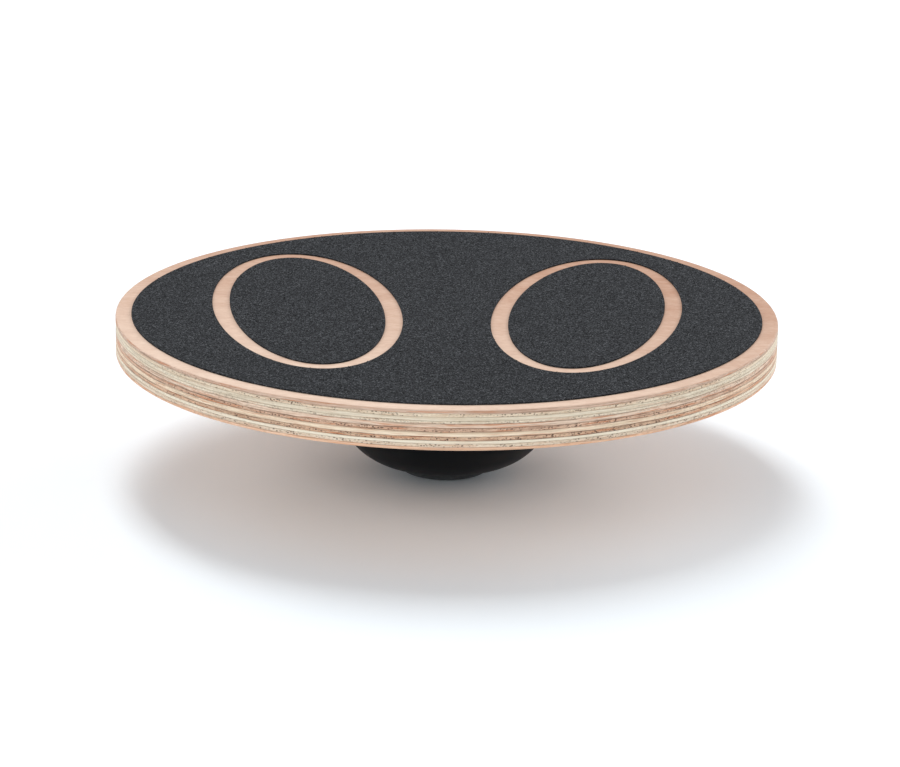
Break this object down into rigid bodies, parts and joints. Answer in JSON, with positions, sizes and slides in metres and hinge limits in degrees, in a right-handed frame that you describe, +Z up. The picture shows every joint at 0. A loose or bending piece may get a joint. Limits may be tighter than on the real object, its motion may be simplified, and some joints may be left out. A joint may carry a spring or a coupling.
{
  "type": "balance board",
  "caption": "Round plywood balance board with a gritty grip sheet on top and a hollow moulded half dome with a rubber foot pad underneath.",
  "frame": {"origin": "middle of the foot pad's flat underside, on the floor", "axes": "+Z up along the dome's axis; +Y the way the toes point; +X to the right of a person standing on the board"},
  "size_m": [0.4, 0.4, 0.1014],
  "materials": {
    "face_veneer": "sanded and clear sealed, pale pinkish tan",
    "cream_veneer": "sawn and sanded edge, pale cream",
    "pink_veneer": "sawn and sanded edge, pinkish tan",
    "brown_veneer": "sawn and sanded edge, light brown",
    "grip_sheet": "fine mineral grit bonded on a thin film, charcoal",
    "black_plastic": "injection moulded, satin",
    "black_rubber": "moulded, matt",
    "zinc_steel": "zinc plated"
  },
  "bodies": {
    "root": {"ply_01_top_face": "face_veneer", "ply_02": "cream_veneer", "ply_03": "cream_veneer", "ply_04": "cream_veneer", "ply_05": "pink_veneer", "ply_06_core": "brown_veneer", "ply_07": "cream_veneer", "ply_08": "brown_veneer", "ply_09": "cream_veneer", "ply_10": "cream_veneer", "ply_11_bottom_face": "face_veneer", "grip_field": "grip_sheet", "grip_left_foot": "grip_sheet", "grip_right_foot": "grip_sheet", "dome_base": "black_plastic", "dome_pad": "black_rubber", "screw_1": "zinc_steel", "screw_2": "zinc_steel", "screw_3": "zinc_steel", "screw_4": "zinc_steel", "screw_5": "zinc_steel", "screw_6": "zinc_steel"}
  },
  "joints": []
}
